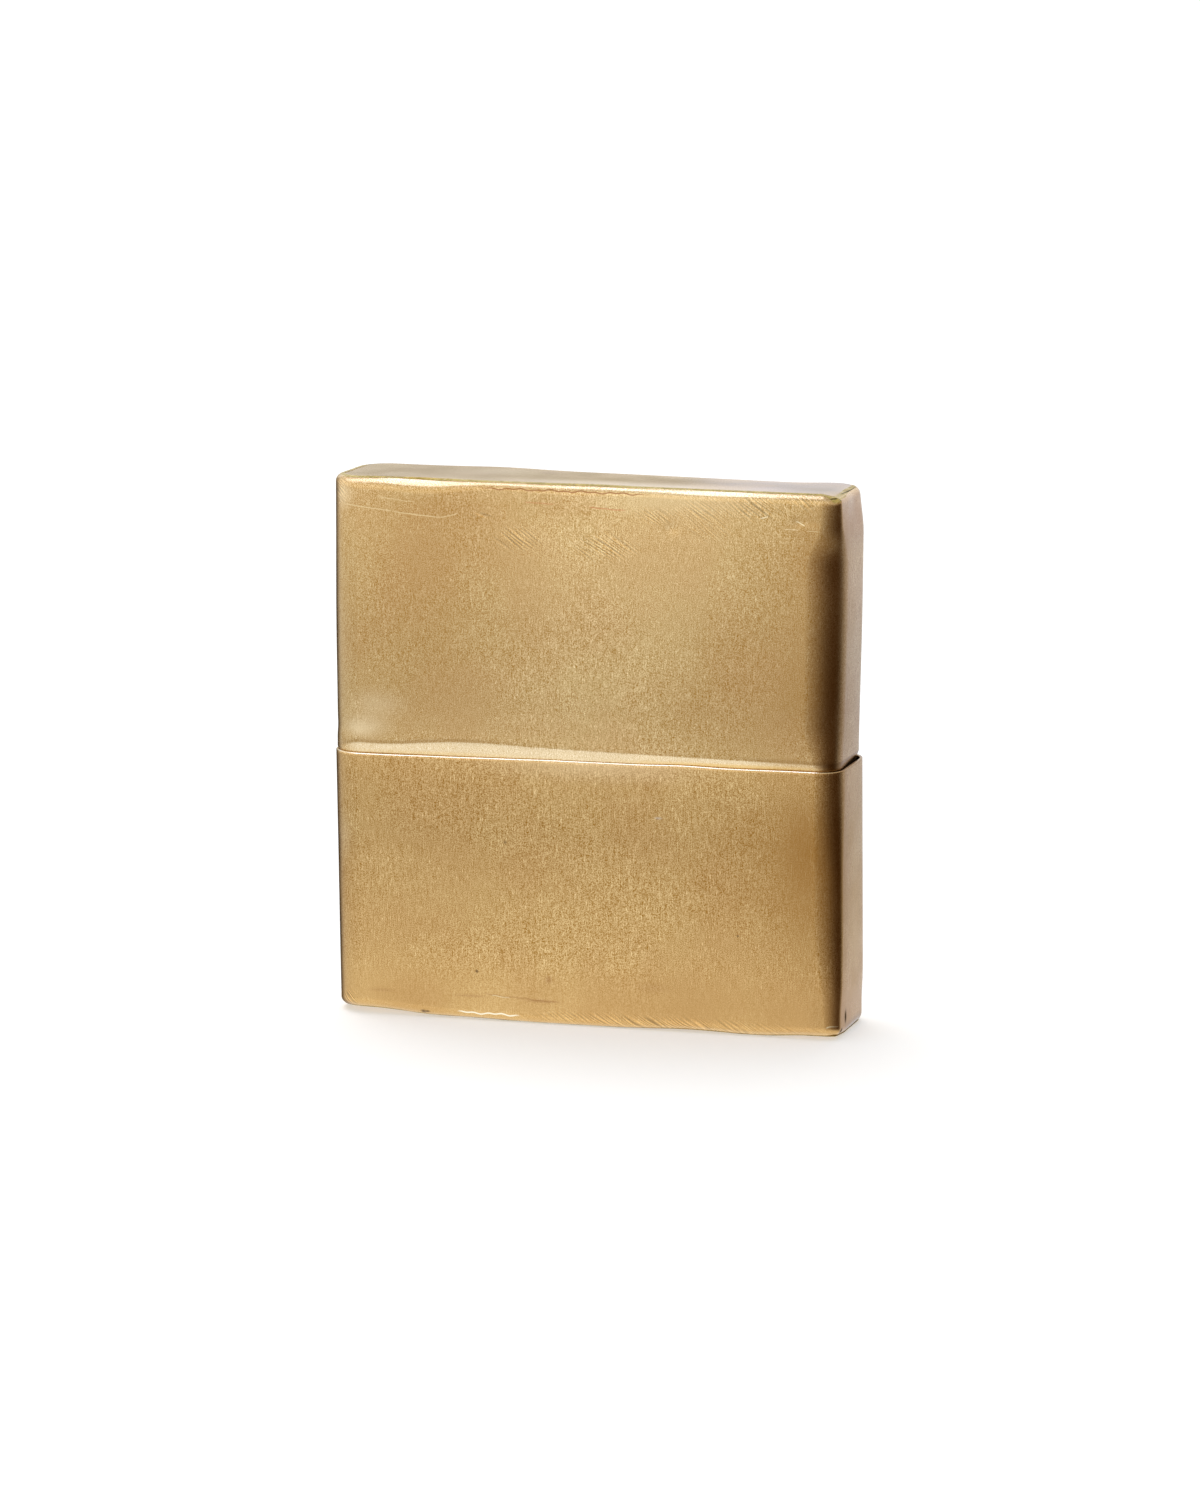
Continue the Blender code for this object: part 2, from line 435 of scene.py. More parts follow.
def make_file_strokes():
    """Parallel marks of a file, from -1 to 1: a sine every Spacing, turned about Y by Angle.

    Slow noise drawn out along the lines shifts the sine, and quicker noise breaks the lines up.
    """
    group, given, result = effect_group(
        "file strokes", {"Vector": "Vector", "Angle": "Float", "Spacing": "Float"}, {"Mask": "Float"}
    )
    turn = {"Vector": given["Vector"], "Angle": given["Angle"]}
    turned = add_node(group, "VectorRotate", turn, rotation_type="Y_AXIS").outputs[0]
    sized = vectors(group, "MULTIPLY", turned, calculate(group, "DIVIDE", 1.0, given["Spacing"]))
    shift = noise(group, vectors(group, "MULTIPLY", sized, (0.06, 0.2, 0.4)), 1.0, 0.0)
    gaps = noise(group, vectors(group, "MULTIPLY", sized, (0.13, 0.4, 1.6)), 1.0, 1.0)
    across = add_node(group, "SeparateXYZ", {0: sized}).outputs[2]
    phase = calculate(group, "MULTIPLY_ADD", shift, 2.5, across)
    lines = calculate(group, "SINE", times(group, phase, 2 * math.pi))
    group.links.new(times(group, lines, fade(group, gaps, 0.32, 0.58)), result["Mask"])
    return group


def make_scratch():
    """One thin wavy line across the front: 1 on the line, 0 at Width from it.

    Its height is Start's height + Slope * run + Wave * two sines of the run, where the run is
    the distance in x from Start. It fades out at both ends of its Length.
    """
    group, given, result = effect_group(
        "scratch",
        {"Vector": "Vector", "Start": "Vector", "Length": "Float", "Slope": "Float", "Wave": "Float",
         "Width": "Float"},
        {"Mask": "Float"},
    )
    away = vectors(group, "SUBTRACT", given["Vector"], given["Start"])
    run, side, rise = add_node(group, "SeparateXYZ", {0: away}).outputs
    quick, slow = (calculate(group, "SINE", times(group, run, rate)) for rate in (2600.0, 1130.0))
    sway = times(group, calculate(group, "ADD", quick, slow), given["Wave"])
    line = calculate(group, "MULTIPLY_ADD", run, given["Slope"], sway)
    off_line = calculate(group, "ABSOLUTE", calculate(group, "SUBTRACT", rise, line))
    near = fade(group, calculate(group, "DIVIDE", off_line, given["Width"]), 1.0, 0.25)
    along = calculate(group, "DIVIDE", run, given["Length"])
    window = times(group, fade(group, along, 0.0, 0.12), fade(group, along, 1.0, 0.85))
    window = times(group, window, fade(group, side, 0.003, 0.002))
    group.links.new(times(group, near, window), result["Mask"])
    return group


brushing = make_brushing()
spot = make_spot()
file_strokes = make_file_strokes()
scratch = make_scratch()
stroke_spacing = 0.48 * mm
bright_brass = (0.82, 0.67, 0.43, 1)
pale_brass = (0.80, 0.645, 0.41, 1)
# Brown of the painted shade patches, which darken the metal where its reflected light falls off.
painted_shade_brown = (0.35, 0.165, 0.035, 1)
red_brown = (0.30, 0.12, 0.045, 1)
dark_brown = (0.11, 0.06, 0.025, 1)
burnt = (0.04, 0.02, 0.01, 1)
# Brown of the painted shade on the inner skins and in the rounded corners.
painted_recess_shade = (0.16, 0.095, 0.035, 1)
# Brown of the painted shade in the crease and the gap between the halves.
painted_crease_shade = (0.30, 0.17, 0.055, 1)


def at(x, z, y=-10.1):
    """A place in millimetres as a point in metres, on the front face unless y says otherwise."""
    return (x * mm, y * mm, z * mm)


def patch(tree, place, centre, reach):
    """The soft oval of one mark, with its centre and its reach in millimetres: x, z and y.

    A reach of 4 in y keeps a mark on the front face.
    """
    return use_group(tree, spot, {"Vector": place, "Centre": at(*centre), "Reach": at(*reach)})["Mask"]


def new_material(name):
    """A material with nodes, and its node tree."""
    material = bpy.data.materials.new(name)
    material.use_nodes = True
    return material, material.node_tree


def metal_surface(tree, metallic, colour, rough, relief, bump_strength, bump_height):
    """Colour, roughness and relief linked to the material's Principled shader."""
    shader = tree.nodes["Principled BSDF"]
    shader.inputs["Metallic"].default_value = metallic
    bump = add_node(tree, "Bump", {"Strength": bump_strength, "Distance": bump_height, "Height": relief})
    tree.links.new(colour, shader.inputs["Base Color"])
    tree.links.new(rough, shader.inputs["Roughness"])
    tree.links.new(bump.outputs[0], shader.inputs["Normal"])


def brass_material(name, golden, brown, levels, bottom, top, grain, depth, worn_below, rough_range, marks):
    """Brushed brass: mottled between two tones, with a level for each height, grain and marks.

    levels are pairs of height share and strength from bottom to top, a painted shade that makes
    the metal darker or lighter by height as its reflected light would. Below worn_below two thirds
    of the grain is worn away. marks has the places of painted shade patches, file strokes, spots
    and scratches; some of the spots are painted light or shade.
    """
    material, tree = new_material(name)
    place = add_node(tree, "TexCoord").outputs["Object"]
    height = add_node(tree, "SeparateXYZ", {0: place}).outputs[2]
    colour = mix_colour(tree, fade(tree, noise(tree, place, 75.0, 3.0), 0.35, 0.65), golden, brown)
    # Painted shade: the colour is multiplied by a level for each height, darker or lighter as the reflected
    # light would make it.
    share = add_node(tree, "MapRange", {"Value": height, "From Min": bottom, "From Max": top}).outputs[0]
    colour = mix_colour(tree, 1.0, colour, colour_steps(tree, share, levels), "MULTIPLY")
    brushed = use_group(tree, brushing, {"Vector": place, "Grain": grain, "Depth": depth})
    kept_grain = fade(tree, height, worn_below - 5 * mm, worn_below + 5 * mm, 0.32, 1.0)
    colour = mix_colour(tree, kept_grain, colour, brushed["Shade"], "MULTIPLY")
    corner, inside, filed, bend, crease = (
        add_node(tree, "Attribute", attribute_name=mask).outputs["Fac"]
        for mask in ("corner", "inside", "filed", "bend", "crease")
    )
    # Painted shade: soft brown patches where the reflected light falls off.
    for centre, reach, strength in marks.get("painted_shade_patches", ()):
        mask = times(tree, patch(tree, place, centre, reach), strength)
        colour = mix_colour(tree, mask, colour, painted_shade_brown)
    # Painted shade: the inner skins and the rounded corners are darkened towards brown.
    corner_and_inside_shade = calculate(tree, "MAXIMUM", times(tree, corner, 0.12), times(tree, inside, 0.35))
    colour = mix_colour(tree, corner_and_inside_shade, colour, painted_recess_shade)
    # The filed facets are paler bare brass, and this mix also paints their highlight whiter.
    colour = mix_colour(tree, times(tree, filed, 0.40), colour, bright_brass)
    # Painted highlight and reflection: the bend mask pales the lower rim's chamfer and the upper half's
    # S-bend, as the light they catch would.
    painted_sheen = mix_colour(tree, 0.4, pale_brass, brushed["Shade"], "MULTIPLY")
    colour = mix_colour(tree, times(tree, bend, 0.9), colour, painted_sheen)
    # Painted shade: a dark line along the upper half's shoulder and in the gap at the right end of the seam.
    colour = mix_colour(tree, times(tree, crease, 0.55), colour, painted_crease_shade)
    relief = times(tree, brushed["Height"], 0.9 * depth)
    smoother = times(tree, bend, 2.0)
    for centre, reach, angle, strength in marks.get("strokes", ()):
        mask = patch(tree, place, centre, reach)
        strokes = {"Vector": place, "Angle": math.radians(angle), "Spacing": stroke_spacing}
        lines = times(tree, times(tree, use_group(tree, file_strokes, strokes)["Mask"], mask), strength)
        colour = mix_colour(tree, 1.0, colour, calculate(tree, "ADD", lines, 1.0), "MULTIPLY")
        relief = calculate(tree, "MULTIPLY_ADD", lines, 0.3, relief)
        smoother = calculate(tree, "MAXIMUM", smoother, mask)
    rough = fade(tree, noise(tree, place, 160.0, 1.0), 0.3, 0.7, *rough_range)
    for centre, reach, tint, strength in marks.get("spots", ()):
        mask = times(tree, patch(tree, place, centre, reach), strength)
        colour = mix_colour(tree, mask, colour, tint)
        if tint == burnt:
            rough = calculate(tree, "MAXIMUM", rough, mask)
    for start, length, slope, wave, width, tint, strength in marks.get("scratches", ()):
        line = {
            "Vector": place, "Start": at(*start), "Length": length * mm, "Slope": slope,
            "Wave": wave * mm, "Width": width * mm,
        }
        mask = times(tree, use_group(tree, scratch, line)["Mask"], strength)
        colour = mix_colour(tree, mask, colour, tint)
        relief = calculate(tree, "SUBTRACT", relief, times(tree, mask, 1.5))
    rough = calculate(tree, "MULTIPLY_ADD", filed, -0.05, rough)
    rough = calculate(tree, "MULTIPLY_ADD", smoother, -0.03, rough)
    metal_surface(tree, 1.0, colour, rough, relief, 0.35, 0.012 * mm)
    return material


lower_marks = {
    # Painted shade patches: centre, reach and strength.
    "painted_shade_patches": (
        ((42, 26), (19, 27, 12), 0.56),
        ((32, 26), (26, 16, 12), 0.18),
        ((37, 31), (6, 10, 12), 0.44),
        ((28, 33), (11, 8, 12), 0.13),
        ((-28, 2.5), (18, 4, 12), 0.12),
        ((-40.6, 17), (3.4, 8, 5), 0.14),
        ((-30, 38), (14, 9, 12), 0.12),
        ((22, 3), (44, 9, 12), 0.15),
        ((-26, 6), (16, 8, 12), 0.10),
        ((43.5, 4, 0), (3, 12, 14), 0.34),
    ),
    "strokes": (
        ((14, 1.3), (34, 1.8, 4), -34, 0.42),
        ((-39.6, 2.4), (2.0, 2.0, 5), -42, 0.85),
    ),
    "spots": (
        ((-12.4, 29.4), (0.45, 0.45, 4), dark_brown, 0.55),
        ((-17.5, 8.1), (0.42, 0.42, 4), dark_brown, 0.85),
        ((-5.4, 7.4), (0.95, 0.95, 4), red_brown, 0.40),
        ((26.0, 16.2), (0.30, 0.30, 4), dark_brown, 0.8),
        ((-26.8, 0.90), (0.75, 0.55, 4), dark_brown, 0.95),
        ((-26.1, 0.95), (0.65, 0.35, 4), dark_brown, 0.9),
        ((12.0, 7.0), (4.2, 1.2, 4), red_brown, 0.13),
        ((13.1, 34.5), (1.0, 0.35, 4), (0.62, 0.58, 0.52, 1), 0.45),
        ((-18.7, 4.0), (4.5, 0.45, 4), red_brown, 0.26),
        ((-6.7, 3.8), (4.6, 0.5, 4), red_brown, 0.32),
        ((-33.7, 4.1), (3.4, 0.5, 4), red_brown, 0.22),
        ((42.5, 3.1, -5.3), (4.0, 1.8, 0.95), burnt, 1.0),
        ((42.5, 1.3, -7.6), (4.0, 0.8, 1.1), burnt, 0.9),
        ((42.8, 20, 0), (1.2, 40, 16), (0.80, 0.52, 0.06, 1), 0.35),
        # Painted highlight: a paler band just under the rim.
        ((3, 42.2), (27, 3.6, 4), (0.84, 0.68, 0.44, 1), 0.28),
        # Painted light: a lighter patch on the left corner.
        ((-40.4, 29), (2.6, 5, 4), pale_brass, 0.25),
        # Painted shade: the right side darkened along its bottom edge.
        ((42.6, 0.3, 0), (3.0, 2.3, 12), (0.16, 0.10, 0.05, 1), 0.90),
    ),
    "scratches": (
        ((-21.2, 1.25), 11.2, -0.004, 0.085, 0.18, (1.0, 0.93, 0.72, 1), 1.0),
        ((-15.2, 4.25), 3.4, -0.08, 0.05, 0.11, (0.98, 0.84, 0.52, 1), 0.60),
        ((-17.0, 4.5), 14.0, -0.060, 0.06, 0.18, red_brown, 0.30),
        ((40.2, 2.1), 1.9, 0.10, 0.10, 0.17, (1.0, 0.88, 0.58, 1), 0.90),
    ),
}
# Painted shade by height: lighter towards the bottom, darkest about three quarters up.
lower_height_shade = ((0.0, 1.0), (0.10, 0.95), (0.28, 0.86), (0.5, 0.80), (0.72, 0.74), (0.88, 0.77), (1.0, 0.84))
lower_brass = brass_material(
    "lower wall brass", (0.70, 0.455, 0.185, 1), (0.665, 0.415, 0.165, 1), lower_height_shade, 0, lower_height,
    (0.13 * mm, 0.13 * mm, 2.4 * mm), 0.28, 8 * mm, (0.26, 0.32), lower_marks,
)

x, y, z, masks = lower_wall_surface()
lower_slot = slot_edges(x, y, z, masks["inside"])
lower_wall = grid_object("lower_wall_skin", lower_brass, x, y, z, masks=masks)
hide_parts("lower_wall")
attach(lower_wall, "lower_half")


# Lower seam: the lengthwise joint that closes the band on its narrow left side. Brass solder
# is run into the slot from outside, stands a little proud and smears over its edges.
olive = (0.52, 0.375, 0.085, 1)
dull_olive = (0.40, 0.29, 0.065, 1)
open_joint = (0.02, 0.012, 0.006, 1)
bead_depth = 0.42 * mm
bead_foot = 0.50 * mm


def solder_material(name, cracks=()):
    """Filed solder: olive yellow that dulls in patches, pitted, with coarse file marks.

    cracks are the centre and the reach of each dark line where the joint has opened.
    """
    material, tree = new_material(name)
    place = add_node(tree, "TexCoord").outputs["Object"]
    patches = noise(tree, place, 600.0, 3.0)
    pits = noise(tree, place, 2300.0, 2.0)
    lines = use_group(tree, file_strokes, {"Vector": place, "Angle": 0.6, "Spacing": 0.30 * mm})["Mask"]
    colour = mix_colour(tree, fade(tree, patches, 0.35, 0.65), olive, dull_olive)
    colour = mix_colour(tree, fade(tree, pits, 0.36, 0.24), colour, dark_brown)
    colour = mix_colour(tree, times(tree, lines, 0.30), colour, bright_brass)
    rough = fade(tree, patches, 0.3, 0.7, 0.36, 0.52)
    for centre, reach in cracks:
        opened = fade(tree, patch(tree, place, centre, reach), 0.1, 0.5)
        colour = mix_colour(tree, opened, colour, open_joint)
        rough = calculate(tree, "MAXIMUM", rough, opened)
    relief = calculate(tree, "MULTIPLY_ADD", pits, 1.5, lines)
    metal_surface(tree, 0.65, colour, rough, relief, 0.5, 0.04 * mm)
    return material


filed_solder = solder_material("filed solder")


def seam_bead(name, edges, seed):
    """The bead in a seam slot: across the slot from edge to edge, along the wall's own section.

    Across, a point is mixed between the two edges of the slot, over-wide on the outer skin by a
    seeded smear and raised there by a half sine, but not past the case's width. The flat foot
    lies bead_depth in.
    """
    near = edges[:, 0]
    far = edges[:, 1]
    middle = (near + far) / 2
    along = near[:, 2]
    across = np.linspace(0, 1, 9)[:, None]
    smear = (0.14 + 0.10 * slow_waves(0, 0, along, seed, 5)) * mm
    lift = (0.035 + 0.02 * slow_waves(0, 0, along, seed + 1, 3)) * mm * np.sin(math.pi * across)
    x_out = np.maximum(middle[:, 0] - lift + 0.015 * mm, -case_width / 2 + 0.002 * mm)
    y_out = (near[:, 1] - smear) * (1 - across) + (far[:, 1] + smear) * across
    x = np.vstack([x_out, middle[:, 0] + bead_depth + 0 * lift])
    y = np.vstack([y_out, middle[:, 1] + bead_foot / 2 * (1 - 2 * across)])
    z = middle[:, 2] + 0 * x
    return grid_object(name, filed_solder, x, y, z)


lower_seam = seam_bead("lower_seam_bead", lower_slot, 21)
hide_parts("lower_seam_solder")
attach(lower_seam, "lower_half")


# Lower end plate: a flat oblong of the same sheet, cut to drop inside the rolled bottom edge.
# It is brushed lengthwise. The case stands on it, and its front edge was hammered up with the wall's.
plate_inset = 1.45 * mm
broken_edge = 0.06 * mm


def end_plate_grid(inset, corner, waviness, seed):
    """A flat oblong: x is the across parameter times the half width of the oblong at that y.

    It lies an inset within the band. With a and b for a corner's radii in x and y, and d for how
    far y is past its centre, the half width there is the full half width - a + a * sqrt(1 -
    (d / b)^2). The front right corner has the radii `corner` less the inset.
    """
    half_x = case_width / 2 - inset
    half_y = case_depth / 2 - inset
    radius = corner_radius - inset
    turn = np.linspace(0, math.pi / 2, 13)
    upper = half_y - radius + radius * np.sin(turn)
    level = np.concatenate([-upper[::-1], np.linspace(radius - half_y, half_y - radius, 16)[1:-1], upper])

    def half_width(across_radius, along_radius):
        beyond = np.clip(np.abs(level) - half_y + along_radius, 0, along_radius)
        return half_x - across_radius + across_radius * np.sqrt(1 - (beyond / along_radius) ** 2)

    across = np.sin(np.linspace(-math.pi / 2, math.pi / 2, 97)) * 0.25 + np.linspace(-0.75, 0.75, 97)
    plain = half_width(radius, radius)
    right = np.where(level < 0, half_width(corner[0] - inset, corner[1] - inset), plain)
    x = np.where(across < 0, plain[:, None], right[:, None]) * across
    y = np.broadcast_to(level[:, None], x.shape)
    return x, y, waviness * (np.minimum(slow_waves(x, y, 0, seed, 22), 1) - 1)


def finish_plate(plate):
    """The sheet's thickness, measured inwards from the outer face, and a broken edge."""
    solidify = plate.modifiers.new("sheet", "SOLIDIFY")
    solidify.thickness = sheet
    solidify.offset = -1.0
    bevel = plate.modifiers.new("broken edge", "BEVEL")
    bevel.width = broken_edge
    bevel.segments = 2
    bevel.limit_method = "ANGLE"
    bevel.angle_limit = math.radians(50)


plate_marks = {
    "spots": (
        ((-8.8, 87.0, 5.2), (2.6, 3.0, 3.2), red_brown, 0.30),
        ((40, 86.6, -2), (11, 4, 14), (0.44, 0.28, 0.07, 1), 0.90),
        # Painted shade: the left half of the top plate darker.
        ((-30, 87.0, 0), (24, 4, 14), (0.42, 0.28, 0.13, 1), 0.35),
    ),
}
plate_levels = ((0.0, 1.0), (1.0, 1.0))
plate_brass = brass_material(
    "end plate brass", (0.66, 0.46, 0.225, 1), (0.62, 0.42, 0.21, 1), plate_levels, 0, lower_height,
    (1.6 * mm, 0.2 * mm, 0.2 * mm), 0.07, 0, (0.20, 0.26), plate_marks,
)
x, y, z = end_plate_grid(plate_inset, bottom_corner, 0.02 * mm, 31)
z = worn_bottom(x, y, -z)
lower_plate = grid_object("lower_end_plate_sheet", plate_brass, x[::-1], y[::-1], z[::-1], wrap_rows=False)
finish_plate(lower_plate)
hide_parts("lower_end_plate")
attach(lower_plate, "lower_half")


# Lower end solder: fills the groove between the rolled lip and the end plate and is filed
# almost level, so it shows as an uneven olive line.
spill_reach = 0.85 * mm
spill_height = 0.13 * mm


def end_solder_ring(radius, seed, spill):
    """A closed ring in the groove. Its section has 12 points on every column of the band.

    Each point is an inset from the outline and a drop below the plate's face. It starts on the
    rolled edge, which at an inset i lies r - sqrt(r^2 - (r - i)^2) down, and ends at the plate,
    and the face between them bulges by half a sine. At the back it was filed deeper. Where
    spill is 1 it has run over the edge by spill_reach and lies on it, up to spill_height thick.
    """

    def edge_drop(inset):
        return radius - np.sqrt(radius**2 - (radius - inset) ** 2)

    lip_inset = radius * (1 - math.cos(lip_angle))
    ragged = 0.06 * mm * slow_waves(base_x, base_y, 0, seed, 4)
    start = np.maximum(lip_inset - 0.05 * mm + ragged - spill_reach * spill, 0.12 * mm)
    start_drop = edge_drop(start) - 0.5 * ragged
    end = plate_inset + 0.10 * mm + 0.08 * mm * slow_waves(base_x, base_y, 0, seed + 1, 6)
    share = np.linspace(0, 1, 8)[:, None]
    face_inset = start * (1 - share) + end * share
    bulge = (0.05 + 0.03 * slow_waves(base_x, base_y, 0, seed + 2, 5)) * mm * np.sin(math.pi * share)
    face_drop = start_drop * (1 - share) ** 1.5 + 0.012 * mm - bulge * 0.6 + 0.12 * mm * on_back
    spilt_drop = edge_drop(np.minimum(face_inset, lip_inset)) - spill_height * np.sin(math.pi * share) ** 0.5
    face_drop = face_drop + spill * (spilt_drop - face_drop)
    floor_inset = end * (1 - share[:4]) + start * share[:4] + 0.12 * mm
    floor_drop = np.maximum(0.5 * mm, start_drop + 0.2 * mm) * np.ones((4, 1))
    return np.vstack([face_inset, floor_inset]), np.vstack([face_drop, floor_drop])


radius, _ = lower_roll()
inset, drop = end_solder_ring(radius, 41, 0 * radius)
x, y, z = bent_round(inset, np.maximum(drop, 0.004 * mm), 0, bottom_corner)
z = worn_bottom(x, y, z)
x, y, z = (values[:, :-1] for values in (x, y, z))
lower_ring = grid_object("lower_end_solder_ring", filed_solder, x, y, z, wrap_columns=True)
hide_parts("lower_end_solder")
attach(lower_ring, "lower_half")


# Upper wall: the second band. Its top edge is rolled in and filed to a slope, and its lower
# stretch is pressed in through an S-bend to a neck that slides inside the lower half.
upper_height = 43.8 * mm
top_inset = 0.2 * mm
shoulder_inset = 0.45 * mm
neck_length = 14.0 * mm
neck_clearance = 0.22 * mm
bend_height = 1.0 * mm
seat_gap = 0.12 * mm
lean = math.radians(1.05)
lean_offset = 0.16 * mm
side_hammered = 0.75 * mm
top_corner = (3.4 * mm, 2.6 * mm)
shoulder_corner = (4.3 * mm, 5.2 * mm)
side_play = lean_offset + neck_length * math.sin(lean)
bend_start = case_width / 2 * math.sin(lean) + seat_gap
tallest = (cad_high[2] - lower_height) / math.cos(lean) - 0.002 * mm
upper_top = upper_height - 0.16 * mm * hill(base_x, 27, 9) * on_back


def upper_roll():
    """Radius of the rolled top edge and how flat it is filed, on every column."""
    radius = roll_radius * (1 + 0.42 * on_front * hill(base_x, -27, 8))
    radius = radius * (1 - 0.10 * on_front * hill(base_x, 12, 16) - 0.36 * on_right - 0.30 * on_left)
    radius = radius * (1 - 0.24 * on_front * hill(base_x, -14, 6))
    radius = radius * (1 + 0.05 * slow_waves(base_x, base_y, 0, 51, 11))
    return radius, 0.10 + on_front * hills(base_x, (0.80, -27, 6.5), (0.75, 24, 9))


def upper_corner(height):
    """Radii of the front right corner: full in the middle, tight at the top, less at the shoulder."""
    at_top = ease(height - upper_height, -11, -4)
    at_shoulder = ease(height, 8, 1)
    return [
        corner_radius - (corner_radius - top) * at_top - (corner_radius - shoulder) * at_shoulder
        for top, shoulder in zip(top_corner, shoulder_corner)
    ]


def drawn_in(height, y):
    """Extra inset of the right side, where it was hammered in towards the top, most at the back."""
    return side_hammered * ease(height, 36.5, 44.5) * (0.15 + 0.85 * ease(y, -8, 2))


def risen_top(x, y, z):
    """Heights with the front top edge drawn up towards the right, and the back one in two places.

    The front right corner itself was left lower.
    """
    front = (0.20 * mm + 0.0067 * (x + 26.6 * mm)) * ease(x, -39, -32)
    front = front + mm * (hills(x, (0.11, -30, 6), (0.08, 2, 5)) - 0.50 * ease(x, 38.6, 41.5))
    back = mm * (0.22 * hill(x, -18, 8) + 0.24 * ease(x, 29, 38))
    return z + (front * ease(y, 8, -8) + back * ease(y, -2, 7)) * ease(z - upper_height, -12, -1)


def stood_askew(x, y, z):
    """From the upper half's own frame, z = 0 at the rim, to its place on the case.

    The top edge is risen first, up to the frame's own highest point. Then the half is turned
    about Y by its lean: x cos + z sin - offset, and rim - x sin + z cos.
    """
    z = np.minimum(risen_top(x, y, z), tallest + x * math.tan(lean))
    return (
        x * math.cos(lean) + z * math.sin(lean) - lean_offset,
        y,
        lower_height - x * math.sin(lean) + z * math.cos(lean),
    )


def upper_wall_surface():
    """The band's closed section: outer neck, bend, body and roll, then the same inside."""
    radius, filed = upper_roll()
    outer_inset, outer_drop, outer_filed = rolled_skin(radius, filed, 0, 18)
    inner_inset, inner_drop, _ = rolled_skin(radius, 0 * filed, sheet, 9)
    dip = 0.90 * ease(base_x, -20, -34) - 0.18 * on_front * hill(base_x, -15, 6) + 1.55 * on_left**1.5
    neck_inset = sheet + neck_clearance - 0.13 * mm * on_front
    shoulder = shoulder_inset - 0.17 * mm * on_front
    bend_low = base_x * math.sin(lean) + mm * (0.05 - 0.17 * on_front - 0.4 * on_left)
    shoulder_z = bend_start + bend_height - dip * mm
    left_play = side_play - 0.10 * mm
    right_play = mm * (0.12 - 0.36 * ease(base_y, 4, -8))
    to_right = ease(base_x, -10, 30)
    mouth_squeeze = left_play + (right_play - left_play) * to_right
    rim_squeeze = mouth_squeeze - (side_play - lean_offset) * (1 - to_right)

    def lower_stretch(depth, neck_steps, bend_steps, body_steps):
        """Inset, height and squeeze of neck, bend and body, from the mouth up to the roll."""
        mouth_z = cut_edge - neck_length
        up_neck = np.linspace(0, 1, neck_steps)[:, None]
        neck_z = mouth_z + (bend_low - mouth_z) * up_neck
        share = np.linspace(0, 1, bend_steps + 1)[1:, None]
        turn = 0.75 * share + 0.25 * share * share * (3 - 2 * share)
        rise = (1 - np.cos(np.linspace(0, math.pi, body_steps + 1)[1:, None])) / 2
        body_z = shoulder_z + (upper_top - radius - shoulder_z) * rise
        bend_inset = neck_inset + (shoulder - neck_inset) * turn
        body_inset = shoulder + (top_inset - shoulder) * ease(body_z, 0, 26)
        neck_squeeze = mouth_squeeze + (rim_squeeze - mouth_squeeze) * up_neck
        return (
            np.vstack([neck_inset + 0 * neck_z, bend_inset, body_inset]) + depth,
            np.vstack([neck_z, bend_low + (shoulder_z - bend_low) * share, body_z]),
            np.vstack([neck_squeeze, rim_squeeze * (1 - turn), 0 * body_z]),
        )

    outer = lower_stretch(0, 14, 14, 84)
    inner = lower_stretch(sheet, 5, 7, 22)
    turn = np.linspace(math.pi / 2, 0, 4)[:, None]
    rounding = cut_edge * (1 - np.cos(turn))
    raised = cut_edge * (1 - np.sin(turn))
    edge_z = (np.vstack([raised[::-1], raised]) - neck_length) * every_column
    parts = (
        (neck_inset + np.vstack([sheet - rounding[::-1], rounding]), edge_z, mouth_squeeze + 0 * edge_z),
        [rows[1:] for rows in outer],
        (top_inset + outer_inset[1:], upper_top - outer_drop[1:], 0 * outer_drop[1:]),
        (top_inset + inner_inset[::-1], upper_top - inner_drop[::-1], 0 * inner_drop),
        [rows[-2:0:-1] for rows in inner],
    )
    inset, height, squeeze = (np.vstack(rows) for rows in zip(*parts))
    inner_start = sum(len(part[0]) for part in parts[:3])
    outside = on_rows(inset, 0, inner_start, 1)
    inset = inset + on_right * (drawn_in(height, base_y) + side_crown)
    x, y, z = bent_round(inset, height, squeeze, upper_corner(height))
    waves = 0.045 * mm * (1 + slow_waves(x, y, z, 52, 32)) * (1 - 0.8 * on_right)
    dents = front_dents(
        x, z, (0.10, (15.2, 0.9), (37.8, 0.7)), (0.12, (35.8, 1.0), (39.5, 0.6)), (0.05, (-26, 10), (30, 9))
    )
    dents = dents + 0.10 * mm * on_left * hill(z, 2.4, 1.6)
    x, y = pushed_in(x, y, (waves + dents) * ease(z, 1.0, 4.0))
    above = height - shoulder_z
    # Painted reflection: the pale band on the S-bend above the rim.
    bend = outside * ease(above, 0.10, -0.04) * ease(height - bend_low, -1.5, -0.4)
    bend = bend * ease(base_x, -40.5, -37) * (1 - 0.55 * ease(base_x, 26, 36)) * on_front**2
    # Painted shade along the shoulder, most at the left and right, and at its right end.
    darker = 0.65 * ease(base_x, -6, -18) + 0.6 * ease(base_x, 24, 31) + 0.15
    crease = outside * hill(above, 0.30, 0.28) * darker * on_front
    crease = np.maximum(crease, outside * ease(above, 0.3, 0) * ease(base_x, 38, 41) * 1.6)
    masks = {
        "filed": on_rows(inset, inner_start - len(outer_filed) + 1, inner_start, outer_filed[1:]),
        "inside": 1 - outside,
        "corner": corner_share,
        "bend": bend,
        "crease": crease,
    }
    return *stood_askew(x, y, z), masks


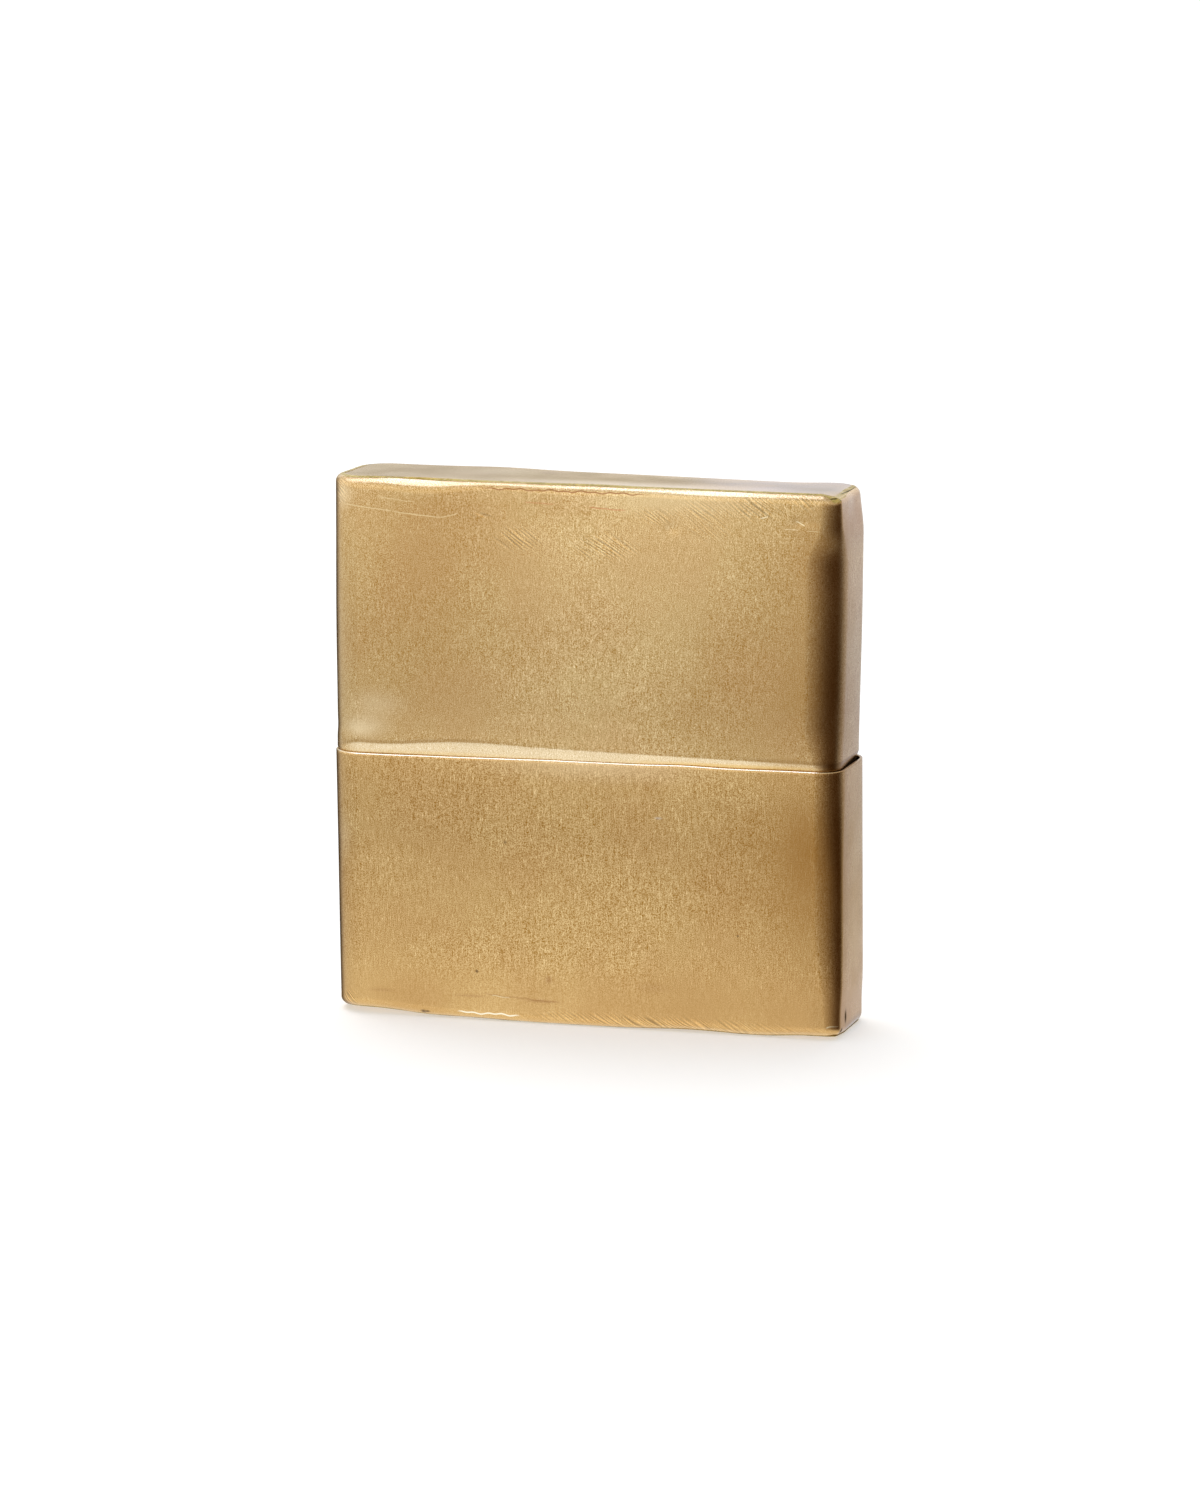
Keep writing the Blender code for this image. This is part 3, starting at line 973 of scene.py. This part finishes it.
lively_brown = (0.60, 0.20, 0.09, 1)
bare_brass = (0.95, 0.78, 0.46, 1)
bare_pale = (0.95, 0.78, 0.48, 1)
upper_marks = {
    # Painted shade patches: centre, reach and strength.
    "painted_shade_patches": (
        ((-27, 66), (30, 34, 12), 0.41),
        ((44, 58), (34, 36, 12), 0.46),
        ((36, 77), (18, 20, 12), 0.16),
        ((20, 51), (15, 12, 12), 0.24),
        ((-20, 83), (22, 5, 12), 0.22),
        ((-18, 77), (20, 8, 12), 0.12),
        ((38.5, 79), (5, 8, 12), 0.30),
        ((38, 54), (8, 9, 12), 0.25),
        ((24, 61), (10, 10, 12), 0.14),
        ((-4, 83.3), (9, 3.5, 12), 0.16),
        ((-26, 81), (15, 8, 12), 0.08),
        ((42.6, 82, 0), (2.4, 7.5, 14), 0.60),
    ),
    "strokes": (
        ((-9.7, 78.2), (5.4, 2.8, 4), -35, 0.42),
        ((4.5, 77.2), (8.5, 3.2, 4), -35, 0.42),
        ((12.8, 82.4), (4.4, 2.0, 4), -35, 0.38),
        ((20.5, 83.6), (7.0, 3.0, 4), -35, 0.42),
        ((29.0, 84.2), (7.5, 3.0, 4), -37, 0.46),
        ((37.2, 85.6), (3.4, 2.6, 4), -40, 0.36),
        ((22.0, 80.8), (5.0, 3.0, 4), -37, 0.24),
        ((-15.7, 81.7), (2.8, 0.8, 4), -22, 0.40),
        ((-39.6, 84.9), (2.0, 3.0, 6), -36, 0.80),
    ),
    "spots": (
        ((-36.0, 47.2), (6.5, 3.2, 4), pale_brass, 0.48),
        ((-34.0, 50.8), (7.0, 3.6, 4), pale_brass, 0.32),
        # Painted light: a lighter strip down the left corner.
        ((-40.6, 60), (3.4, 24, 5), pale_brass, 0.20),
        # Painted reflection: a golden line just above the rim, where the bend reflects it.
        ((-22, 43.15), (26, 0.55, 4), (0.82, 0.56, 0.20, 1), 0.40),
        ((24, 43.25), (26, 0.60, 4), (0.80, 0.50, 0.12, 1), 0.60),
        ((-37.0, 46.8), (3.4, 1.8, 4), (0.92, 0.75, 0.47, 1), 0.40),
        # Painted highlight on the top left corner.
        ((-39.2, 84.4), (2.6, 3.4, 6), (0.92, 0.74, 0.46, 1), 0.55),
        # Painted highlight: a paler band below the top edge.
        ((16, 84.8), (22, 3.2, 4), (0.84, 0.66, 0.38, 1), 0.40),
        ((42.0, 82.3, -10.4), (3.4, 5.4, 2.8), (0.17, 0.085, 0.03, 1), 0.85),
    ),
    "scratches": (
        ((-16.8, 86.10), 30.0, -0.012, 0.08, 0.17, red_brown, 0.80),
        ((2.0, 83.5), 6.5, -0.050, 0.03, 0.13, lively_brown, 0.60),
        ((-8.6, 84.0), 5.4, -0.020, 0.03, 0.13, lively_brown, 0.40),
        ((-38.8, 82.9), 8.8, -0.110, 0.015, 0.13, bare_brass, 0.45),
        ((-30.6, 81.9), 8.6, -0.090, 0.015, 0.13, bare_brass, 0.45),
        ((-22.6, 81.1), 3.2, 0.260, 0.03, 0.14, bare_brass, 0.40),
        ((-33.0, 84.2), 6.2, -0.110, 0.02, 0.12, bare_brass, 0.35),
        ((33.8, 80.95), 2.4, -0.005, 0.02, 0.11, bare_pale, 0.55),
        ((37.2, 80.8), 2.2, -0.030, 0.02, 0.11, bare_pale, 0.40),
        ((35.7, 82.3), 1.5, -0.50, 0.02, 0.14, (1.0, 0.86, 0.56, 1), 0.75),
        ((30.0, 82.5), 1.3, 0.30, 0.02, 0.14, (1.0, 0.90, 0.64, 1), 0.6),
    ),
}
# Painted shade by height: darker low on the upper half, lighter towards its top.
upper_height_shade = ((0.0, 0.92), (0.2, 0.86), (0.5, 0.90), (0.75, 0.97), (0.9, 1.0), (1.0, 1.0))
upper_brass = brass_material(
    "upper wall brass", (0.66, 0.465, 0.212, 1), (0.645, 0.435, 0.198, 1), upper_height_shade,
    lower_height, 87.0 * mm, (0.13 * mm, 0.13 * mm, 1.5 * mm), 0.25, 0, (0.26, 0.32), upper_marks,
)
x, y, z, masks = upper_wall_surface()
upper_slot = slot_edges(x, y, z, masks["inside"])
upper_wall = grid_object("upper_wall_skin", upper_brass, x, y, z, masks=masks)
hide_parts("upper_wall")
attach(upper_wall, "upper_half")


# Upper seam: the same soldered joint on the upper band, from the neck's mouth to the top.
upper_seam = seam_bead("upper_seam_bead", upper_slot, 61)
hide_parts("upper_seam_solder")
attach(upper_seam, "upper_half")


# Upper end plate: the flat top, brushed lengthwise. It sags along its front edge right of the
# middle, and has sunk a little at the back on the right, where the file went deeper.
x, y, z = end_plate_grid(top_inset + plate_inset, top_corner, 0.03 * mm, 71)
sag = 0.26 * ease(x, -22, 2) * ease(x, 36, 24) + 0.08 * hill(x, 18, 7)
sag = sag * ease(y, 0, -8.4) ** 2 + 0.05 * hill(x, 27, 9) * ease(y, 0, 8)
x = x - drawn_in(upper_height, y) * ease(x, 30, 41)
x, y, z = stood_askew(x, y, upper_height + z - sag * mm)
upper_plate = grid_object("upper_end_plate_sheet", plate_brass, x, y, z, wrap_rows=False)
finish_plate(upper_plate)
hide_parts("upper_end_plate")
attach(upper_plate, "upper_half")


# Upper end solder: fills the groove round the top plate. At the front right corner it ran over
# the edge and was left as a lump, and the joint beside it has opened to a dark crack.
radius, _ = upper_roll()
lump = hill(base_x, 41.4, 2.4) * hill(base_y, -7.6, 3.0)
inset, drop = end_solder_ring(radius, 81, lump)
height = upper_top - np.maximum(drop, 0.002 * mm)
inset = inset + top_inset + on_right * drawn_in(height, base_y)
x, y, z = stood_askew(*bent_round(inset, height, 0, upper_corner(height)))
cracks = (((41.5, 86.6, 0.5), (0.15, 2, 9.0)), ((41.7, 85.8, -9.2), (1.2, 0.14, 1.6)))
cracked_solder = solder_material("cracked solder", cracks)
x, y, z = (values[:, :-1] for values in (x, y, z))
upper_ring = grid_object("upper_end_solder_ring", cracked_solder, x, y, z, wrap_columns=True)
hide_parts("upper_end_solder")
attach(upper_ring, "upper_half")


# Camera: a long lens from the front right and a little above, as in the photograph. Its place
# and turn come from a fit to the outline, and its lens from the same fit.
camera_data = bpy.data.cameras.new("camera")
camera_data.lens = 123.70
camera_data.sensor_width = 36.0
camera_data.clip_start = 0.05
camera_data.clip_end = 50.0
camera = bpy.data.objects.new("camera", camera_data)
bpy.context.scene.collection.objects.link(camera)
camera.location = (243.72 * mm, -773.16 * mm, 189.61 * mm)
camera.rotation_mode = "XYZ"
camera.rotation_euler = (math.radians(90 - 10.245), 0, math.radians(17.466))
camera.rotation_euler.rotate_axis("Z", math.radians(-0.66))
bpy.context.scene.camera = camera


# Studio floor: a large pale sheet. It keeps the soft shadow of the case, and a little light of
# its own for the camera takes the open floor up to white.
floor_reach = 30.0
floor_drop = 0.05 * mm
white_lift = 0.38
floor_material, tree = new_material("pale floor")
tree.nodes.clear()
rays = add_node(tree, "LightPath").outputs
paper = add_node(tree, "BsdfDiffuse", {"Color": (0.85, 0.85, 0.85, 1)})
lift = add_node(tree, "Emission", {"Strength": times(tree, rays["Is Camera Ray"], white_lift)})
both = add_node(tree, "AddShader", {0: paper.outputs[0], 1: lift.outputs[0]})
add_node(tree, "OutputMaterial", {"Surface": both.outputs[0]})
x, y = np.meshgrid((-floor_reach, floor_reach), (-floor_reach, floor_reach))
floor = grid_object("floor", floor_material, x, y, 0 * x - floor_drop, wrap_rows=False)
floor.visible_glossy = False


# Studio light: white air for the camera, an even fill for the floor, a wide soft lamp overhead
# that draws the shadow, and a tent round the case that only the metal sees.
world = bpy.data.worlds.new("studio")
bpy.context.scene.world = world
world.use_nodes = True
tree = world.node_tree
rays = add_node(tree, "LightPath").outputs
strength = calculate(tree, "MULTIPLY_ADD", rays["Is Camera Ray"], white_lift, 1 - white_lift)
tree.links.new(strength, tree.nodes["Background"].inputs["Strength"])
tree.nodes["Background"].inputs["Color"].default_value = (1, 1, 1, 1)

lamp_data = bpy.data.lights.new("overhead softbox", "SUN")
lamp_data.energy = 1.1
lamp_data.angle = math.radians(45)
lamp = bpy.data.objects.new("overhead softbox", lamp_data)
bpy.context.scene.collection.objects.link(lamp)
lamp.rotation_euler = (math.radians(-22), math.radians(-18), 0)
lamp.visible_glossy = False

walls = (
    (-180, 0.30), (-168, (0.05, 0.032, 0.015)), (-123, (0.05, 0.032, 0.015)), (-114, (0.46, 0.42, 0.38)),
    (-102, 0.92), (-60, 0.90), (-32, 0.86), (-16, 1.0), (-6, 0.80), (6, (0.61, 0.58, 0.55)),
    (18, (0.51, 0.46, 0.41)), (36, (0.34, 0.285, 0.24)), (56, (0.175, 0.13, 0.10)), (72, (0.11, 0.07, 0.045)),
    (86, (0.085, 0.045, 0.02)), (102, (0.08, 0.045, 0.02)), (113, (0.11, 0.085, 0.07)),
    (123, (0.36, 0.34, 0.36)), (140, (0.57, 0.56, 0.63)), (156, (0.66, 0.645, 0.74)),
    (163, (0.74, 0.765, 0.91)), (171, (0.82, 0.87, 1.0)), (180, 0.84),
)
heights = (
    (-90, 0.59), (-40, 0.61), (-24, 0.635), (-16, 0.55), (-11, 0.475), (-7, 0.475), (-3, 0.56), (3, 0.67),
    (15, 0.725), (42, 0.675), (58, 0.4), (90, 0.3),
)
behind = (
    (-3, 0.0), (4, (0.15, 0.13, 0.09)), (9, (0.24, 0.215, 0.155)), (14, (0.32, 0.30, 0.235)),
    (17, (0.40, 0.40, 0.375)), (20, (0.60, 0.66, 0.77)), (24, (0.74, 0.84, 1.0)), (34, (0.70, 0.76, 0.90)),
)
behind_right = (
    (-3, 0.0), (5, (0.24, 0.25, 0.27)), (12, (0.43, 0.45, 0.53)), (16, (0.50, 0.525, 0.63)),
    (24, (0.62, 0.69, 0.84)),
)


def angle_steps(tree, value, full, steps):
    """A ramp over an angle that value gives as its share of the full one, with steps in degrees."""
    return colour_steps(tree, value, [(0.5 + angle / full, level) for angle, level in steps])


tent_material, tree = new_material("light tent")
tree.nodes.clear()
place = add_node(tree, "TexCoord").outputs["Object"]
direction = vectors(tree, "NORMALIZE", place)
along_x, along_y, along_z = add_node(tree, "SeparateXYZ", {0: direction}).outputs
azimuth = calculate(tree, "ARCTAN2", along_x, times(tree, along_y, -1.0))
azimuth = calculate(tree, "MULTIPLY_ADD", azimuth, 0.5 / math.pi, 0.5)
elevation = calculate(tree, "MULTIPLY_ADD", calculate(tree, "ARCSINE", along_z), 1 / math.pi, 0.5)
off_level = calculate(tree, "ABSOLUTE", calculate(tree, "SUBTRACT", elevation, 0.47))
all_round = fade(tree, off_level, 0.10, 0.24)
wall_light = mix_colour(tree, all_round, angle_steps(tree, azimuth, 360, walls), (0.92, 0.92, 0.92, 1))
light = mix_colour(tree, 1.0, wall_light, angle_steps(tree, elevation, 180, heights), "MULTIPLY")
behind_light = mix_colour(
    tree, fade(tree, azimuth, 0.5 - 165.2 / 360, 0.5 - 167.2 / 360),
    angle_steps(tree, elevation, 180, behind), angle_steps(tree, elevation, 180, behind_right),
)
at_back = fade(tree, azimuth, 0.5 - 112 / 360, 0.5 - 135 / 360)
light = mix_colour(tree, at_back, light, behind_light, "LIGHTEN")
strip = {"Vector": direction, "Centre": (-0.36, -0.15, 0.92), "Reach": (0.72, 0.30, 0.7)}
strip = fade(tree, use_group(tree, spot, strip)["Mask"], 0.1, 0.6)
strip_light = mix_colour(tree, strip, (0, 0, 0, 1), (1.02, 1.20, 2.0, 1))
glow = add_node(tree, "Emission", {"Color": vectors(tree, "ADD", light, strip_light), "Strength": 2.0})
add_node(tree, "OutputMaterial", {"Surface": glow.outputs[0]})

tent_radius = 0.5
tent_centre = 40 * mm
around = np.linspace(0, 2 * math.pi, 65)[:-1]
up = np.linspace(-math.pi / 2 + 0.02, math.pi / 2 - 0.02, 33)[:, None]
x = tent_radius * np.cos(up) * np.sin(around)
y = -tent_radius * np.cos(up) * np.cos(around)
z = tent_radius * np.sin(up) * np.ones(len(around))
tent = grid_object("light_tent", tent_material, x, y, z, wrap_rows=False, wrap_columns=True)
tent.location = (0, 0, tent_centre)
for ray in ("camera", "diffuse", "transmission", "shadow", "volume_scatter"):
    setattr(tent, "visible_" + ray, False)

scene = bpy.context.scene
scene.view_settings.view_transform = "Standard"
